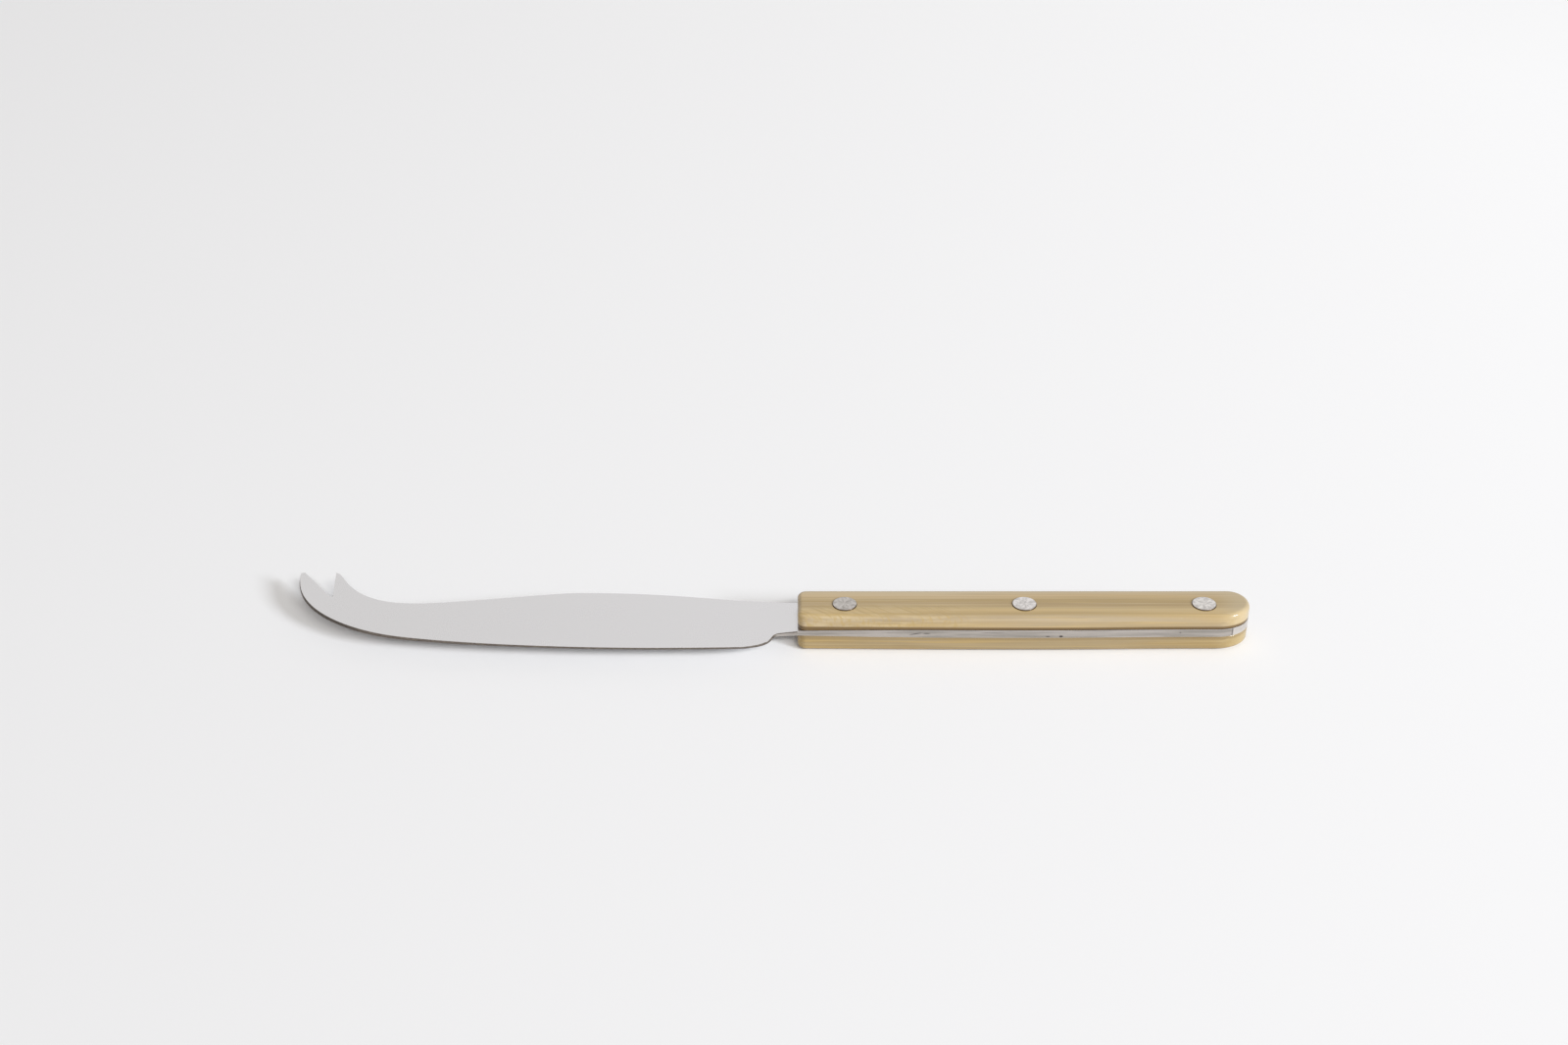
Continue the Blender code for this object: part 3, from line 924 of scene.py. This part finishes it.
def make_rivet_steel(name, x_centre, seed, dark, light):
    material, tree, shader = new_material(name, Metallic=1.0)
    place = in_millimetres(tree, (x_centre, 0.0, 0.0))
    x, y, _ = add_node(tree, "ShaderNodeSeparateXYZ", Vector=place).outputs
    turn = calculate(tree, "ARCTAN2", y, x)
    squares = [calculate(tree, "MULTIPLY", length, length) for length in (x, y)]
    distance = calculate(tree, "SQRT", calculate(tree, "ADD", *squares))
    round_x = calculate(tree, "MULTIPLY", calculate(tree, "COSINE", turn), 2.2)
    round_y = calculate(tree, "MULTIPLY", calculate(tree, "SINE", turn), 2.2)
    outwards = calculate(tree, "ADD", calculate(tree, "MULTIPLY", distance, 0.7), seed)
    polar = add_node(tree, "ShaderNodeCombineXYZ", X=round_x, Y=round_y, Z=outwards).outputs[0]
    petals = add_node(tree, "ShaderNodeTexNoise", Vector=polar, Scale=1.0, Detail=3.0)
    specks = noise(tree, place, (0.6, 0.6, 0.6), detail=3.0, shift=(seed, 0.0, 0.0))
    height = calculate(tree, "ADD", petals.outputs[0], calculate(tree, "MULTIPLY", specks, 0.6))
    tone = blend_colour(tree, remap(tree, height, 0.6, 1.0), dark, light)
    # Painted shade: the side and outer rim of each head are painted dark brown, for the shade in the gap
    # round the head.
    side = remap(tree, distance, *HEAD_EDGE)
    feed(tree, shader["Base Color"], blend_colour(tree, side, tone, HEAD_SIDE_SHADE))
    feed(tree, shader["Roughness"], remap(tree, specks, 0.3, 0.7, 0.3, 0.45))
    bump = add_node(tree, "ShaderNodeBump", Strength=0.2, Distance=0.05 * MM, Height=height)
    feed(tree, shader["Normal"], bump.outputs["Normal"])
    return material


RIVET_STEELS = [
    make_rivet_steel("rivet_steel_" + node[6:], x, 4.0 * index + 1.0, *RIVET_TONES[index])
    for index, (node, x) in enumerate(zip(RIVET_NODES, RIVET_SPOTS))
]

# %% [markdown]
# ## The rivets
#
# A rivet is a round pin, so it is turned: a half profile is spun a full turn about its axis.
# The profile starts and ends on the axis, and the spin merges its last step with its first.
# The rim is a bevel on the two round edges, small enough to stay crisp and wide
# enough to catch the light.

# %% Rivet pieces
RIVET_RIM = 0.16
ROUND_STEPS = 96


def make_rivet(name, x_centre, material, node):
    form = bmesh.new()
    profile = [
        form.verts.new((radius, 0.0, height))
        for radius, height in (
            (0.0, pin_low.z), (RIVET_RADIUS, pin_low.z), (RIVET_RADIUS, pin_high.z), (0.0, pin_high.z),
        )
    ]
    edges = [form.edges.new(pair) for pair in zip(profile, profile[1:])]
    bmesh.ops.spin(
        form, geom=[*profile, *edges], axis=(0, 0, 1), cent=(0, 0, 0), steps=ROUND_STEPS,
        angle=2 * math.pi, use_merge=True,
    )
    bmesh.ops.remove_doubles(form, verts=form.verts, dist=MERGE)
    bmesh.ops.recalc_face_normals(form, faces=form.faces)
    rim = [edge for edge in form.edges if edge.calc_face_angle(0.0) > RIM_ANGLE]
    bmesh.ops.bevel(
        form, geom=rim, offset=RIVET_RIM, offset_type="OFFSET", segments=4, profile=0.5,
        affect="EDGES", material=-1,
    )
    bmesh.ops.translate(form, verts=form.verts, vec=(x_centre, 0, 0))
    return add_piece(name, form, [material], node)


for node, x, steel in zip(RIVET_NODES, RIVET_SPOTS, RIVET_STEELS):
    make_rivet(node + "_pin", x, steel, node)

# %% [markdown]
# ## Floor
#
# The knife lies on a plain pale sweep, which gets a little paler to the right and away from
# the camera. This gradient is painted light, which stands in for the fall of the studio light
# across the sweep. The floor is one large square with a matt, almost white material whose tone
# follows a slope along X and Y.

# %% Floor
FLOOR_HALF = 8.0
SWEEP_DARK = (0.722, 0.712, 0.717, 1.0)
SWEEP_PALE = (1.0, 0.995, 1.0, 1.0)
SWEEP_SLOPE = (0.5, 0.59)
SWEEP_RANGE = (-0.64, 0.36)


def make_floor():
    material, tree, shader = new_material("pale_sweep", Roughness=0.9, Specular_IOR_Level=0.1)
    x, y, _ = add_node(
        tree, "ShaderNodeSeparateXYZ", Vector=tree.nodes.new("ShaderNodeTexCoord").outputs["Object"]
    ).outputs
    level = calculate(
        tree, "ADD",
        calculate(tree, "MULTIPLY", x, SWEEP_SLOPE[0]), calculate(tree, "MULTIPLY", y, SWEEP_SLOPE[1]),
    )
    # Painted light: the sweep is painted paler to the right and away from the camera.
    tone = remap(tree, level, *SWEEP_RANGE, smooth=False)
    feed(tree, shader["Base Color"], blend_colour(tree, tone, SWEEP_DARK, SWEEP_PALE))
    form = bmesh.new()
    bmesh.ops.create_grid(form, x_segments=1, y_segments=1, size=FLOOR_HALF)
    mesh = bpy.data.meshes.new("sweep")
    form.to_mesh(mesh)
    form.free()
    mesh.materials.append(material)
    floor = bpy.data.objects.new("sweep", mesh)
    bpy.context.scene.collection.objects.link(floor)


make_floor()

# %% [markdown]
# ## Light
#
# Two soft boxes and an even pale sky light the knife. The main box stands to the right and in
# front, twenty-six degrees up: it throws the soft shadow of the fork and puts the small
# highlights on the rivets and the butt. The wide box in front, thirty-nine degrees up, reaches
# under the blade, so that its shadow stays thin, and is left out of reflections, because the
# real handle mirrors no such box. Rays that see the sky directly or in a reflection find it white.

# %% Soft boxes and sky
BOX_DISTANCE = 5.0
MAIN_BOX = {
    "name": "main_box", "azimuth": 56.5, "elevation": 26.0, "size": (1.35, 1.35), "power": 186.0,
    "colour": (0.95, 1.0, 1.065), "mirrored": True,
}
FRONT_BOX = {
    "name": "front_box", "azimuth": 22.0, "elevation": 39.0, "size": (3.6, 0.6), "power": 140.0,
    "colour": (1.0, 1.0, 0.975), "mirrored": False,
}
SKY_COLOUR = (1.037, 1.0, 0.968, 1.0)
SKY_LIGHT = 0.336
SKY_SEEN = 1.0
AIM = Vector((-60.0, 0.0, 0.0)) * MM


def make_soft_box(name, azimuth, elevation, size, power, colour, mirrored):
    turn = math.radians(azimuth)
    rise = math.radians(elevation)
    towards = Vector((math.cos(rise) * math.sin(turn), -math.cos(rise) * math.cos(turn), math.sin(rise)))
    lamp = bpy.data.lights.new(name, "AREA")
    lamp.shape = "ELLIPSE"
    lamp.size, lamp.size_y = size
    lamp.energy = power
    lamp.color = colour
    box = bpy.data.objects.new(name, lamp)
    box.location = AIM + BOX_DISTANCE * towards
    box.rotation_euler = towards.to_track_quat("Z", "Y").to_euler()
    box.visible_glossy = mirrored
    bpy.context.scene.collection.objects.link(box)


def make_sky():
    world = bpy.data.worlds.new("pale_sky")
    world.use_nodes = True
    tree = world.node_tree
    tree.nodes.clear()
    paths = tree.nodes.new("ShaderNodeLightPath").outputs
    seen = calculate(tree, "MAXIMUM", paths["Is Camera Ray"], paths["Is Glossy Ray"])
    seen = calculate(tree, "MAXIMUM", seen, paths["Is Transmission Ray"])
    shed = add_node(tree, "ShaderNodeBackground", Color=SKY_COLOUR, Strength=SKY_LIGHT)
    shown = add_node(tree, "ShaderNodeBackground", Color=(1.0, 0.995, 0.995, 1.0), Strength=SKY_SEEN)
    blend = tree.nodes.new("ShaderNodeMixShader")
    feed(tree, blend.inputs[0], seen)
    feed(tree, blend.inputs[1], shed.outputs[0])
    feed(tree, blend.inputs[2], shown.outputs[0])
    feed(tree, tree.nodes.new("ShaderNodeOutputWorld").inputs["Surface"], blend.outputs[0])
    bpy.context.scene.world = world


make_soft_box(**MAIN_BOX)
make_soft_box(**FRONT_BOX)
make_sky()
bpy.context.scene.view_settings.view_transform = "Standard"

# %% [markdown]
# ## Camera
#
# The camera looks along +Y and down, level from side to side, with a normal lens. Its place was
# worked out from the rivets, which are circles seen as ellipses, and from the lines of the
# handle.

# %% Camera
CAMERA_PLACE = Vector((-59.731, -451.014, 310.202)) * MM
CAMERA_PITCH = 31.445
LENS = 50.0

lens = bpy.data.cameras.new("studio_camera")
lens.lens = LENS
lens.sensor_width = 36.0
lens.clip_start = 0.01
camera = bpy.data.objects.new("studio_camera", lens)
camera.location = CAMERA_PLACE
camera.rotation_euler = (math.radians(90 - CAMERA_PITCH), 0.0, 0.0)
bpy.context.scene.collection.objects.link(camera)
bpy.context.scene.camera = camera

# %% Finish
bpy.context.view_layer.update()
